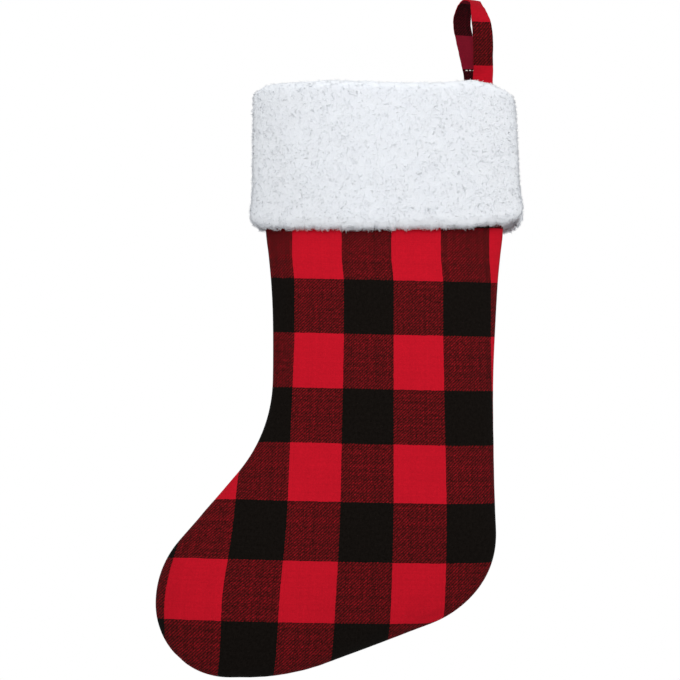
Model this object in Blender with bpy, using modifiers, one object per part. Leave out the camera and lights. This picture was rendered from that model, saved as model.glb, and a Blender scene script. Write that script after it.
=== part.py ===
"""Hanging stocking: a two-panel shell, a sewn lining, a folded plush cuff and a strap loop.

Metres, +Z up, the front of the stocking towards -Y and its toe towards -X.  The origin is the
point inside the crown of the loop that rests on the hook.
"""
import math

import bmesh
import bpy
import numpy as np

# Outline of the shell, seam to seam, in the XZ plane.
LOOP_DROP = 0.0615            # hook point down to the top of the cuff
STOCKING_LENGTH = 0.457       # top of the cuff down to the sole
MOUTH_WIDTH = 0.190
MOUTH_BACK_X = 0.029          # heel-side seam at the mouth
CALF_WIDTH = 0.169            # narrowest part of the leg
CALF_FRONT_DROP = 0.174       # cuff top down to where the front seam turns upright
CALF_BACK_DROP = 0.232        # the same on the heel side
HEEL_BACK_X = 0.0207
HEEL_OVERHANG = 0.0031        # heel behind the calf
HEEL_RISE = 0.060             # corner of the heel above the sole
FOOT_LENGTH = 0.2627          # front of the toe to the back of the heel
TOE_FLAT = 0.1030             # front of the toe to where the sole starts to rise
TOE_HEIGHT = 0.085            # corner over the toe above the sole
ANKLE_HEIGHT = 0.188          # corner of the instep above the sole
CALF_RADIUS = 0.600
ANKLE_RADIUS = 0.112
TOE_TOP_RADIUS = 0.075
TOE_TIP_RADIUS = 0.058
SOLE_RADIUS = 0.174
HEEL_RADIUS = 0.077

# Half depths of the shell, seam plane to outer face.
CUFF_HALF_DEPTH = 0.022
CALF_HALF_DEPTH = 0.0195
HEEL_HALF_DEPTH = 0.0205
FOOT_HALF_DEPTH = 0.0225
TOE_ROUND_SHARE = 0.22        # share of the length over which the toe closes

# Cloth.
SHELL_CLOTH = 0.0014
LINING_CLOTH = 0.0008
PLUSH = 0.0050                # cuff layer outside the leg
FACING = 0.0025               # the same plush, flattened, inside the mouth
STRAP_CLOTH = 0.0016
TOUCH_GAP = 0.0003            # between faces that touch
SEAM_CLEARANCE = 0.0006       # panel edges to the thread that joins them

# Cuff.
CUFF_HEIGHT = 0.1150
CUFF_FOLD = 0.0062            # height of the rounded fold at the top
CUFF_LEG_GAP = 0.0016         # shell to cuff just under the fold
CUFF_FLARE_X = 0.0088         # the hem stands out this much more at the side seams
CUFF_FLARE_Y = 0.0016         # and this much more at the front and back
FACING_DEPTH = 0.0352         # the cuff reaches this far down inside the mouth
WALL_DEPTH = 0.0265           # flat back of the cuff, from the seam plane

# Hanging loop.
STRAP_WIDTH = 0.0155
LOOP_RADIUS = 0.0145          # inside of the crown
LOOP_TURN = math.radians(29)  # strap turned about the vertical at the crown
LOOP_BASE_TURN = math.radians(4)
LOOP_LEAN = 0.0064            # base of the loop to the heel side of its crown
LOOP_SPLAY = 0.0043           # each end of the strap to its own side at the base
BEND_HEIGHT = 0.0050          # bending line above the top of the cuff
BEND_ROOM = 0.0022            # strap left out above and below the bending line
TAIL_LENGTH = 0.0490          # strap end below the bending line
BAR_TACK_RISE = 0.0016        # stitches above the lower end of the loop

# Threads.
SEAM_THREAD_R = 0.00040
FINE_THREAD_R = 0.00030

TOP_Z = -LOOP_DROP
SOLE_Z = TOP_Z - STOCKING_LENGTH
FOLD_Z = TOP_Z - CUFF_FOLD
HEM_Z = TOP_Z - CUFF_HEIGHT
CALF_Z = (HEM_Z + SOLE_Z + ANKLE_HEIGHT) / 2
FACING_Z = TOP_Z - FACING_DEPTH
BEND_Z = TOP_Z + BEND_HEIGHT
SHELL_TOP_Z = FOLD_Z - TOUCH_GAP
LINING_IN = SHELL_CLOTH + SEAM_CLEARANCE + 2 * SEAM_THREAD_R + TOUCH_GAP
FACING_IN = LINING_IN

PANEL_COLUMNS = 10
LEG_ROWS = 22
TOE_ROWS = 8
FOLD_STEPS = 4

parts = None


def clear_scene():
    for item in list(bpy.data.objects):
        bpy.data.objects.remove(item, do_unlink=True)


def make_material(name, colour, roughness):
    material = bpy.data.materials.new(name)
    material.use_nodes = True
    shader = material.node_tree.nodes["Principled BSDF"]
    shader.inputs["Base Color"].default_value = (*colour, 1.0)
    shader.inputs["Roughness"].default_value = roughness
    shader.inputs["Metallic"].default_value = 0.0
    material.diffuse_color = (*colour, 1.0)
    return material


def solid(name, points, faces, material):
    """Closed body from points and faces, with its faces turned outwards."""
    mesh = bpy.data.meshes.new(name)
    mesh.from_pydata([tuple(point) for point in points], [], faces)
    body = bmesh.new()
    body.from_mesh(mesh)
    bmesh.ops.recalc_face_normals(body, faces=body.faces)
    body.to_mesh(mesh)
    body.free()
    mesh.shade_smooth()
    mesh.set_sharp_from_angle(angle=math.radians(40))
    mesh.materials.append(material)
    item = bpy.data.objects.new(name, mesh)
    parts.objects.link(item)
    return item


def thread(name, points, radius, cyclic, material):
    """Round thread along points."""
    curve = bpy.data.curves.new(name, "CURVE")
    curve.dimensions = "3D"
    curve.bevel_depth = radius
    curve.bevel_resolution = 1
    curve.use_fill_caps = True
    spline = curve.splines.new("POLY")
    spline.points.add(len(points) - 1)
    for target, point in zip(spline.points, points):
        target.co = (*point, 1.0)
    spline.use_cyclic_u = cyclic
    curve.materials.append(material)
    item = bpy.data.objects.new(name, curve)
    parts.objects.link(item)
    return item


# ---- outline -----------------------------------------------------------------------------

def outline_corners():
    """Corners (x, z, fillet radius) from the mouth's front, round the toe, to its back."""
    heel_x = HEEL_BACK_X
    toe_x = heel_x - FOOT_LENGTH
    calf_back = heel_x - HEEL_OVERHANG
    calf_front = calf_back - CALF_WIDTH
    return [
        (MOUTH_BACK_X - MOUTH_WIDTH, TOP_Z, 0.0),
        (calf_front, TOP_Z - CALF_FRONT_DROP, CALF_RADIUS),
        (calf_front, SOLE_Z + ANKLE_HEIGHT, ANKLE_RADIUS),
        (toe_x, SOLE_Z + TOE_HEIGHT, TOE_TOP_RADIUS),
        (toe_x, SOLE_Z, TOE_TIP_RADIUS),
        (toe_x + TOE_FLAT, SOLE_Z, SOLE_RADIUS),
        (heel_x, SOLE_Z + HEEL_RISE, HEEL_RADIUS),
        (calf_back, TOP_Z - CALF_BACK_DROP, CALF_RADIUS),
        (MOUTH_BACK_X, TOP_Z, 0.0),
    ]


def fillet_path(corners, steps=24):
    """Straight runs between corners, joined by tangent arcs; and the middle point of each arc.

    Where two arcs would meet on one run, both give way in proportion.
    """
    places = np.array([corner[:2] for corner in corners])
    runs = np.diff(places, axis=0)
    lengths = np.linalg.norm(runs, axis=1)
    runs /= lengths[:, None]
    turns = np.arccos(np.clip((runs[:-1] * runs[1:]).sum(axis=1), -1.0, 1.0))
    radii = np.array([corner[2] for corner in corners[1:-1]])
    reach = np.concatenate([[0.0], radii * np.tan(turns / 2), [0.0]])
    room = np.minimum(lengths / np.maximum(reach[:-1] + reach[1:], 1e-9), 1.0)
    radii = radii * np.minimum(room[:-1], room[1:])
    points = [places[0]]
    middles = []
    for corner, run_in, run_out, turn, radius in zip(places[1:], runs, runs[1:], turns, radii):
        bisector = (run_out - run_in) / np.linalg.norm(run_out - run_in)
        along = (run_in + run_out) / np.linalg.norm(run_in + run_out)
        centre = corner + bisector * radius / math.cos(turn / 2)
        for angle in np.linspace(-turn / 2, turn / 2, steps + 1):
            points.append(centre + radius * (along * math.sin(angle) - bisector * math.cos(angle)))
        middles.append(centre - radius * bisector)
    points.append(places[-1])
    return np.array(points), middles


def even_path(points, spacing=0.002):
    """The same path with points at an even spacing, and their distances along it."""
    along = np.concatenate([[0.0], np.cumsum(np.linalg.norm(np.diff(points, axis=0), axis=1))])
    count = int(along[-1] / spacing) + 1
    distance = np.linspace(0.0, along[-1], count)
    even = np.stack([np.interp(distance, along, points[:, i]) for i in (0, 1)], axis=1)
    return even, distance


class Outline:
    """The seam line, its inward normals, and its halves from the mouth to the tip of the toe.

    The normals turn level below the cuff, so that all layers end level at the mouth.
    """

    def __init__(self):
        points, middles = fillet_path(outline_corners())
        self.points, self.distance = even_path(points)
        tangent = np.gradient(self.points, axis=0)
        tangent /= np.linalg.norm(tangent, axis=1)[:, None]
        level = np.clip((self.points[:, 1] - CALF_Z) / (HEM_Z - CALF_Z), 0.0, 1.0)
        self.inward = np.stack([-tangent[:, 1], tangent[:, 0] * (1.0 - level)], axis=1)
        self.ankle, self.tip, self.heel = (self.nearest(middles[i]) for i in (1, 3, 5))

    def nearest(self, point):
        return self.distance[np.argmin(np.linalg.norm(self.points - point, axis=1))]

    def at(self, distance, inset):
        """Points at distances along the seam line, moved in by inset."""
        moved = self.points + inset * self.inward
        return np.stack([np.interp(distance, self.distance, moved[:, i]) for i in (0, 1)], axis=-1)

    def down_front(self, z):
        """Distance along the line to height z on the front seam of the leg."""
        upper = self.distance < self.ankle
        return np.interp(-z, -self.points[upper, 1], self.distance[upper])

    def down_back(self, z):
        """Distance along the line to height z on the back seam of the leg."""
        upper = self.distance > self.heel
        return np.interp(z, self.points[upper, 1], self.distance[upper])

    def leg_x(self, z):
        """X of the front and back seams at height z."""
        return self.at(self.down_front(z), 0.0)[..., 0], self.at(self.down_back(z), 0.0)[..., 0]


def row_stations(outline, top_z):
    """Rows of a panel from top_z to the tip: distances on both seams and the half depth."""
    station = np.array([0.0, 0.20, 0.38, 0.66, 1.0])
    front = [outline.down_front(top_z), outline.down_front(HEM_Z), outline.down_front(CALF_Z),
             outline.ankle, outline.tip]
    back = [outline.down_back(top_z), outline.down_back(HEM_Z), outline.down_back(CALF_Z),
            outline.heel, outline.tip]
    depth = [CUFF_HALF_DEPTH, CUFF_HALF_DEPTH, CALF_HALF_DEPTH, HEEL_HALF_DEPTH,
             FOOT_HALF_DEPTH]
    toe_from = 1.0 - TOE_ROUND_SHARE
    leg = np.linspace(0.0, toe_from, LEG_ROWS, endpoint=False)
    toe = toe_from + TOE_ROUND_SHARE * np.sin(np.linspace(0.0, math.pi / 2, TOE_ROWS))
    rows = np.concatenate([leg, toe])
    closing = np.clip((rows - toe_from) / TOE_ROUND_SHARE, 0.0, 1.0)
    half_depth = np.interp(rows, station, depth) * np.sqrt(1.0 - closing ** 2)
    return np.interp(rows, station, front), np.interp(rows, station, back), half_depth


def panel_face(outline, top_z, inset, side):
    """One face of a panel: a half ellipse on each row, from the front seam to the back seam."""
    front, back, half_depth = row_stations(outline, top_z)
    angle = np.linspace(0.0, math.pi, PANEL_COLUMNS + 1)
    share = (1.0 - np.cos(angle)) / 2
    start = outline.at(front, inset)
    end = outline.at(back, inset)
    flat = start[:, None, :] + (end - start)[:, None, :] * share[None, :, None]
    depth = np.maximum(half_depth - inset, 0.0)
    away = side * (depth[:, None] * np.sin(angle)[None, :] + TOUCH_GAP / 2)
    return np.stack([flat[..., 0], away, flat[..., 1]], axis=-1)


def make_panel(name, outline, top_z, inset, cloth, side, material):
    """Panel of cloth between two faces; the rows end in one point at the tip of the toe."""
    faces_of = [panel_face(outline, top_z, depth, side) for depth in (inset, inset + cloth)]
    rows, columns = faces_of[0].shape[:2]
    points = []
    index = np.zeros((2, rows, columns), dtype=int)
    for layer, face in enumerate(faces_of):
        for row in range(rows):
            for column in range(columns):
                if row == rows - 1 and column > 0:
                    index[layer, row, column] = index[layer, row, 0]
                    continue
                index[layer, row, column] = len(points)
                points.append(face[row, column])
    faces = []

    def add(*corners):
        loop = [corner for i, corner in enumerate(corners) if corner != corners[i - 1]]
        faces.append(loop)

    for layer in (0, 1):
        grid = index[layer]
        for row in range(rows - 1):
            for column in range(columns - 1):
                add(grid[row, column], grid[row, column + 1],
                    grid[row + 1, column + 1], grid[row + 1, column])
    for column in range(columns - 1):
        add(index[0, 0, column], index[0, 0, column + 1],
            index[1, 0, column + 1], index[1, 0, column])
    for column in (0, columns - 1):
        for row in range(rows - 1):
            add(index[0, row, column], index[0, row + 1, column],
                index[1, row + 1, column], index[1, row, column])
    return solid(name, points, faces, material)


# ---- cuff --------------------------------------------------------------------------------

def cuff_flare(z):
    """How far the cuff has spread at height z: 0 at the fold, 1 at the hem."""
    return np.clip((FOLD_Z - z) / (FOLD_Z - HEM_Z), 0.0, 1.0) ** 0.8


def cuff_section():
    """Outer and inner path of the folded section: rows of (z, inset x, inset y)."""
    turn = np.linspace(math.pi, 0.0, 2 * FOLD_STEPS + 1)

    def path(out_in, in_in, height, out_end, in_end):
        half = (in_in - out_in) / 2
        arc = [(FOLD_Z + height * math.sin(a), out_in + half * (1 + math.cos(a))) for a in turn]
        rows = [(z, out_in - CUFF_FLARE_X * cuff_flare(z), out_in - CUFF_FLARE_Y * cuff_flare(z))
                for z in np.linspace(out_end, FOLD_Z, 8)[:-1]]
        rows += [(z, inset, inset) for z, inset in arc]
        rows += [(z, in_in, in_in) for z in np.linspace(FOLD_Z, in_end, 4)[1:]]
        return np.array(rows)

    outer = path(-CUFF_LEG_GAP - PLUSH, FACING_IN + FACING, CUFF_FOLD, HEM_Z, FACING_Z)
    inner = path(-CUFF_LEG_GAP, FACING_IN, 3 * TOUCH_GAP, HEM_Z, FACING_Z)
    return outer, inner


def ring_points(outline, section, side, limit):
    """Section points carried from the front seam to the back seam on half ellipses."""
    z, inset_x, inset_y = section.T
    front, back = outline.leg_x(z)
    angle = np.linspace(0.0, math.pi, PANEL_COLUMNS + 1)
    share = (1.0 - np.cos(angle))[:, None] / 2
    start = front + inset_x
    x = start + (back - inset_x - start) * share
    away = (CUFF_HALF_DEPTH - inset_y) * np.sin(angle)[:, None] + TOUCH_GAP / 2
    away = np.minimum(away, limit)
    return np.stack([x, side * away, np.broadcast_to(z, x.shape)], axis=-1)


def make_cuff(name, outline, side, limit, material):
    """Half of the cuff: plush outside, folded over the mouth, and its facing inside."""
    outer, inner = (ring_points(outline, path, side, limit) for path in cuff_section())
    loops = np.concatenate([outer, inner[:, ::-1]], axis=1)
    columns, count = loops.shape[:2]
    half = count // 2
    index = np.arange(columns * count).reshape(columns, count)
    faces = []
    for column in range(columns - 1):
        for i in range(count):
            j = (i + 1) % count
            faces.append([index[column, i], index[column, j],
                          index[column + 1, j], index[column + 1, i]])
    for column in (0, columns - 1):
        for i in range(half - 1):
            faces.append([index[column, i], index[column, i + 1],
                          index[column, count - 2 - i], index[column, count - 1 - i]])
    return solid(name, loops.reshape(-1, 3), faces, material)


# ---- hanging loop ------------------------------------------------------------------------

def loop_profile():
    """Centre line of the strap in its own plane (offset, z): base, crown and base again.

    Two straight sides leave the base and run as tangents into the arc of the crown.
    """
    radius = LOOP_RADIUS + STRAP_CLOTH / 2
    centre_z = -LOOP_RADIUS
    base_z = BEND_Z + BEND_ROOM
    base = (STRAP_CLOTH + 2 * TOUCH_GAP) / 2
    drop = centre_z - base_z
    tilt = math.asin(radius / math.hypot(base, drop)) - math.atan2(base, drop)
    side = np.linspace(0.0, 1.0, 7)[:-1]
    edge = np.array([radius * math.cos(tilt), centre_z - radius * math.sin(tilt)])
    foot = np.array([base, base_z])
    rise = foot + (edge - foot) * side[:, None]
    arc = np.linspace(-tilt, math.pi + tilt, 17)
    crown = np.stack([radius * np.cos(arc), centre_z + radius * np.sin(arc)], axis=1)
    fall = rise[::-1] * (-1.0, 1.0)
    return np.concatenate([rise, crown, fall])[::-1]


def loop_frame(profile):
    """Centre points and width directions of the strap, turned, leaning and splayed."""
    offset, z = profile.T
    down = np.clip(-z / -(BEND_Z + BEND_ROOM), 0.0, 1.0)
    turn = LOOP_TURN + (LOOP_BASE_TURN - LOOP_TURN) * down ** 3
    x = LOOP_LEAN * down ** 1.3 - offset * np.sin(turn) - np.sign(offset) * LOOP_SPLAY * down
    centre = np.stack([x, offset * np.cos(turn), z], axis=1)
    width = np.stack([np.cos(turn), np.sin(turn), np.zeros_like(turn)], axis=1)
    return centre, width


def make_loop(material):
    """Flat strap bent over the hook, from one end at the bending line to the other."""
    centre, width = loop_frame(loop_profile())
    along = np.gradient(centre, axis=0)
    normal = np.cross(width, along)
    normal /= np.linalg.norm(normal, axis=1)[:, None]
    w = width * STRAP_WIDTH / 2
    t = normal * STRAP_CLOTH / 2
    shoulder = 1.0 - STRAP_CLOTH / STRAP_WIDTH
    ring = [-w, -w * shoulder + t, w * shoulder + t, w, w * shoulder - t, -w * shoulder - t]
    points = np.stack([centre + part for part in ring], axis=1)
    stops, count = points.shape[:2]
    index = np.arange(stops * count).reshape(stops, count)
    faces = [list(index[0]), list(index[-1])]
    for stop in range(stops - 1):
        for i in range(count):
            j = (i + 1) % count
            faces.append([index[stop, i], index[stop, j], index[stop + 1, j],
                          index[stop + 1, i]])
    return solid("hanging_loop", points.reshape(-1, 3), faces, material)


def strap_ends():
    """X of the middle of the front and of the back end of the strap at its base."""
    centre, _ = loop_frame(loop_profile())
    return centre[0, 0], centre[-1, 0]


def make_tail(name, x, side, material):
    """Flat end of the strap below the bending line, down inside the mouth."""
    bpy.ops.mesh.primitive_cube_add(size=1.0)
    item = bpy.context.object
    item.name = name
    item.data.name = name
    item.dimensions = (STRAP_WIDTH, STRAP_CLOTH, TAIL_LENGTH)
    item.location = (x, side * (STRAP_CLOTH + 2 * TOUCH_GAP) / 2,
                     BEND_Z - BEND_ROOM - TAIL_LENGTH / 2)
    bpy.ops.object.transform_apply(location=False, rotation=False, scale=True)
    bevel = item.modifiers.new("Soft edges", "BEVEL")
    bevel.width = STRAP_CLOTH / 4
    bevel.segments = 1
    item.data.materials.append(material)
    for collection in list(item.users_collection):
        collection.objects.unlink(item)
    parts.objects.link(item)
    return item


def ring_round(x_from, x_to, y_from, y_to, z, radius):
    """Corner points of a thread laid round a flat strap, clear of its faces."""
    room = TOUCH_GAP + radius
    x_from, x_to, y_from, y_to = x_from - room, x_to + room, y_from - room, y_to + room
    middle = (x_from + x_to) / 2
    return [(x_from, y_from, z), (middle, y_from, z), (x_to, y_from, z),
            (x_to, y_to, z), (middle, y_to, z), (x_from, y_to, z)]


def make_loop_threads(material):
    """Stitches across the back end of the loop, and the stitches that hold its two ends."""
    front_x, back_x = strap_ends()
    near = (STRAP_CLOTH + 2 * TOUCH_GAP) / 2
    half = STRAP_WIDTH / 2
    centre, width = loop_frame(loop_profile())
    along = centre[-1] - centre[-2]
    rise = BAR_TACK_RISE / abs(along[2])
    middle = centre[-1] - along * rise
    room = TOUCH_GAP + FINE_THREAD_R
    slant = abs(along[1] / along[2]) * FINE_THREAD_R
    across = width[-1] * (half + room)
    through = np.array([0.0, STRAP_CLOTH / 2 + room + slant, 0.0])
    tack = [middle - across - through, middle - through, middle + across - through,
            middle + across + through, middle + through, middle - across + through]
    thread("loop_bar_tack", tack, FINE_THREAD_R, True, material)
    anchor_z = FACING_Z - 0.004
    anchor = ring_round(back_x - half, front_x + half, -near - STRAP_CLOTH / 2,
                        near + STRAP_CLOTH / 2, anchor_z, FINE_THREAD_R)
    thread("loop_anchor_thread", anchor, FINE_THREAD_R, True, material)


# ---- seam threads ------------------------------------------------------------------------

def make_panel_thread(name, outline, top_z, inset, radius, material):
    """Thread along the seam of a pair of panels, just inside their edges, from row to row."""
    front, back, _ = row_stations(outline, top_z)
    along = np.concatenate([front, back[-2::-1]])[1:-1]
    points = outline.at(along, inset + SEAM_CLEARANCE + radius)
    thread(name, [(x, 0.0, z) for x, z in points], radius, False, material)


def make_mouth_thread(outline, material):
    """Thread round the mouth, under the facing and inside the top of the lining."""
    inset = LINING_IN + LINING_CLOTH + TOUCH_GAP + FINE_THREAD_R
    z = FACING_Z - 2 * TOUCH_GAP - FINE_THREAD_R
    section = np.array([[z, inset, inset]])
    front = ring_points(outline, section, -1.0, 1.0)[:, 0]
    back = ring_points(outline, section, 1.0, 1.0)[::-1, 0]
    front[0, 1] = front[-1, 1] = 0.0
    thread("mouth_seam_thread", np.concatenate([front, back[1:-1]]), FINE_THREAD_R, True,
           material)


def make_cuff_threads(outline, material):
    """Threads down both side seams of the cuff, on its inside."""
    z = np.linspace(FOLD_Z - 0.004, HEM_Z + 0.004, 5)
    inset = -CUFF_LEG_GAP - CUFF_FLARE_X * cuff_flare(z) + TOUCH_GAP + SEAM_THREAD_R
    front, back = outline.leg_x(z)
    for name, x in (("cuff_seam_thread_toe_side", front + inset),
                    ("cuff_seam_thread_heel_side", back - inset)):
        points = [(x_i, 0.0, z_i) for x_i, z_i in zip(x, z)]
        thread(name, points, SEAM_THREAD_R, False, material)


def build():
    global parts
    clear_scene()
    parts = bpy.data.collections.new("hanging_stocking")
    bpy.context.scene.collection.children.link(parts)
    plaid = make_material("plaid_flannel", (0.36, 0.008, 0.018), 0.9)
    plush = make_material("white_plush", (0.80, 0.82, 0.88), 0.95)
    lining = make_material("lining_cloth", (0.62, 0.58, 0.50), 0.85)
    dark = make_material("black_thread", (0.01, 0.01, 0.01), 0.8)
    white = make_material("white_thread", (0.80, 0.79, 0.75), 0.8)

    outline = Outline()
    lining_top = FACING_Z - TOUCH_GAP
    for word, side in (("front", -1.0), ("back", 1.0)):
        make_panel("shell_" + word, outline, SHELL_TOP_Z, 0.0, SHELL_CLOTH, side, plaid)
        make_panel("lining_" + word, outline, lining_top, LINING_IN, LINING_CLOTH, side, lining)
    make_cuff("cuff_front", outline, -1.0, 1.0, plush)
    make_cuff("cuff_back", outline, 1.0, WALL_DEPTH, plush)
    make_loop(plaid)
    front_x, back_x = strap_ends()
    make_tail("loop_tail_front", front_x, -1.0, plaid)
    make_tail("loop_tail_back", back_x, 1.0, plaid)
    make_loop_threads(white)
    make_panel_thread("shell_seam_thread", outline, SHELL_TOP_Z, SHELL_CLOTH, SEAM_THREAD_R, dark)
    make_panel_thread("lining_seam_thread", outline, lining_top, LINING_IN + LINING_CLOTH,
                      FINE_THREAD_R, white)
    make_mouth_thread(outline, white)
    make_cuff_threads(outline, white)


build()
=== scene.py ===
import math

import bpy
import numpy as np
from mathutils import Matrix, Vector


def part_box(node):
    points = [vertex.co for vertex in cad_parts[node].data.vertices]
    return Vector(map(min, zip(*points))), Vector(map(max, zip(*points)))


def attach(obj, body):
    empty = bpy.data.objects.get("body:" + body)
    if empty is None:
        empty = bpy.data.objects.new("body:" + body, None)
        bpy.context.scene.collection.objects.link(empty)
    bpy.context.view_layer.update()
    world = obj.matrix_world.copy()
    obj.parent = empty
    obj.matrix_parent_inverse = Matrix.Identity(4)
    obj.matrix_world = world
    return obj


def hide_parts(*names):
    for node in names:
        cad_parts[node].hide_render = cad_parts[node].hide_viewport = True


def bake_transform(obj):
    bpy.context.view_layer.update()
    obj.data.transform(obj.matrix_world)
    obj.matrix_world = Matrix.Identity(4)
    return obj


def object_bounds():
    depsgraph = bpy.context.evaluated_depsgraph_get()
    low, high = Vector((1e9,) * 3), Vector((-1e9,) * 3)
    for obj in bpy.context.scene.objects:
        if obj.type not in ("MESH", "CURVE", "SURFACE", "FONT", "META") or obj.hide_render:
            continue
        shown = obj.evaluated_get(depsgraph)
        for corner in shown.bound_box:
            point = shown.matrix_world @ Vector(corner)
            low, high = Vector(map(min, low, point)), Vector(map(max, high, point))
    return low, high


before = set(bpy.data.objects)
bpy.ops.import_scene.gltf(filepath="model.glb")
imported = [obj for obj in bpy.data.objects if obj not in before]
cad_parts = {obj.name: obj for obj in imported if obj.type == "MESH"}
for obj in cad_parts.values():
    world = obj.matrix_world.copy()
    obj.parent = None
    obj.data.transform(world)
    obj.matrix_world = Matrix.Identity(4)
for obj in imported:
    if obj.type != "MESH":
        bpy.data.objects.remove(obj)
cad_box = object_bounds()

# ---- The view ----------------------------------------------------------------------------
# The stocking hangs in the open, well above a pale floor, in front of a long lens.  A soft lamp
# stands near it in front, others to the right, above and behind, and the room is white.

VIEW_WIDTH = 0.5216           # width that the view takes in at the seam plane
VIEW_CENTRE = (-0.0997, -0.2594)
CAMERA_DISTANCE = 2.4
SENSOR_WIDTH = 36.0
FLOOR_DROP = 0.70             # sole to the floor

camera_data = bpy.data.cameras.new("camera")
camera_data.sensor_width = SENSOR_WIDTH
camera_data.lens = SENSOR_WIDTH * CAMERA_DISTANCE / VIEW_WIDTH
camera = bpy.data.objects.new("camera", camera_data)
camera.location = (VIEW_CENTRE[0], -CAMERA_DISTANCE, VIEW_CENTRE[1])
camera.rotation_euler = (math.pi / 2, 0.0, 0.0)
bpy.context.scene.collection.objects.link(camera)
bpy.context.scene.camera = camera
bpy.context.scene.view_settings.view_transform = "Standard"


def node(tree, kind, **values):
    """A new node of a material's tree, with its properties and its unlinked inputs set."""
    made = tree.nodes.new(kind)
    for name, value in values.items():
        if hasattr(made, name):
            setattr(made, name, value)
        else:
            made.inputs[name].default_value = value
    return made


def maths(operation, a, b=None):
    """A Math node on sockets or plain numbers, in the tree of its first socket."""
    made = (a if isinstance(a, bpy.types.NodeSocket) else b).id_data.nodes.new("ShaderNodeMath")
    made.operation = operation
    for slot, value in enumerate((a, b)):
        if isinstance(value, bpy.types.NodeSocket):
            made.id_data.links.new(value, made.inputs[slot])
        elif value is not None:
            made.inputs[slot].default_value = value
    return made.outputs[0]


def plus(a, b):
    """The sum of two sockets or numbers."""
    return maths("ADD", a, b)


def minus(a, b):
    """The first of two sockets or numbers less the second."""
    return maths("SUBTRACT", a, b)


def times(a, b):
    """The product of two sockets or numbers."""
    return maths("MULTIPLY", a, b)


def mixed(factor, a, b):
    """A colour mixed from a to b by a factor socket; a and b are sockets or colours."""
    tree = factor.id_data
    made = tree.nodes.new("ShaderNodeMix")
    made.data_type = "RGBA"
    tree.links.new(factor, made.inputs["Factor"])
    for name, value in (("A", a), ("B", b)):
        socket = [s for s in made.inputs if s.name == name and s.type == "RGBA"][0]
        if isinstance(value, bpy.types.NodeSocket):
            tree.links.new(value, socket)
        else:
            socket.default_value = (*value, 1.0)
    return [s for s in made.outputs if s.type == "RGBA"][0]


def noise(place, **values):
    """The value of a noise texture at a socket of coordinates."""
    made = node(place.id_data, "ShaderNodeTexNoise", **values)
    place.id_data.links.new(place, made.inputs["Vector"])
    return made.outputs["Fac"]


def bump(shader, height, strength, distance):
    """Raises a shader's surface by a socket of heights."""
    made = node(height.id_data, "ShaderNodeBump", Strength=strength, Distance=distance)
    height.id_data.links.new(height, made.inputs["Height"])
    height.id_data.links.new(made.outputs["Normal"], shader.inputs["Normal"])


def new_material(name, **values):
    """A material, its node tree and its Principled shader with uniform inputs set."""
    material = bpy.data.materials.new(name)
    material.use_nodes = True
    tree = material.node_tree
    shader = tree.nodes["Principled BSDF"]
    for key, value in values.items():
        shader.inputs[key.replace("_", " ")].default_value = value
    return material, tree, shader


def area_lamp(name, place, aim, size, power):
    """A square soft lamp at place, turned towards aim."""
    data = bpy.data.lights.new(name, "AREA")
    data.size = size
    data.energy = power
    lamp = bpy.data.objects.new(name, data)
    lamp.location = place
    lamp.rotation_euler = (Vector(aim) - Vector(place)).to_track_quat("-Z", "Y").to_euler()
    lamp.visible_camera = False
    bpy.context.scene.collection.objects.link(lamp)


area_lamp("key_lamp", (-0.14, -0.95, 0.24), (-0.08, 0.0, -0.12), 0.45, 5.2)
area_lamp("right_lamp", (0.95, -0.5, 0.15), (-0.02, 0.0, -0.10), 0.5, 2.0)
area_lamp("top_lamp", (-0.1, -0.9, 1.2), (-0.08, 0.0, -0.16), 0.9, 1.9)
area_lamp("back_lamp", (-0.5, 1.3, 0.5), (-0.1, 0.0, -0.25), 0.9, 8.0)

world = bpy.data.worlds.new("white_room")
world.use_nodes = True
sky = world.node_tree
seen = sky.nodes["Background"]
seen.inputs["Color"].default_value = (1.0, 1.0, 1.0, 1.0)
lit = node(sky, "ShaderNodeBackground")
lit.inputs["Color"].default_value = (0.93, 0.96, 1.0, 1.0)
lit.inputs["Strength"].default_value = 0.52
choose = sky.nodes.new("ShaderNodeMixShader")
path = sky.nodes.new("ShaderNodeLightPath")
sky.links.new(path.outputs["Is Camera Ray"], choose.inputs["Fac"])
sky.links.new(lit.outputs[0], choose.inputs[1])
sky.links.new(seen.outputs[0], choose.inputs[2])
sky.links.new(choose.outputs[0], sky.nodes["World Output"].inputs["Surface"])
bpy.context.scene.world = world

bpy.ops.mesh.primitive_plane_add(size=6.0, location=(VIEW_CENTRE[0], 0.0, cad_box[0].z - FLOOR_DROP))
floor = bpy.context.object
floor.name = "floor"
floor_material, floor_tree, floor_shader = new_material("pale_floor", Roughness=0.9)
floor_grain = node(floor_tree, "ShaderNodeTexNoise", Scale=3.0, Detail=4.0)
floor_tree.links.new(mixed(floor_grain.outputs["Fac"], (0.90, 0.90, 0.90), (0.93, 0.93, 0.93)),
                     floor_shader.inputs["Base Color"])
floor.data.materials.append(floor_material)

# ---- Shell -------------------------------------------------------------------------------
# Two panels of brushed twill in a wide red and black check, sewn face to face along the side,
# toe and sole and turned.  The bag is blown up a little and hung by its mouth as cloth, so that
# it settles round its seam, and is then parted again into its two panels.

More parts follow.
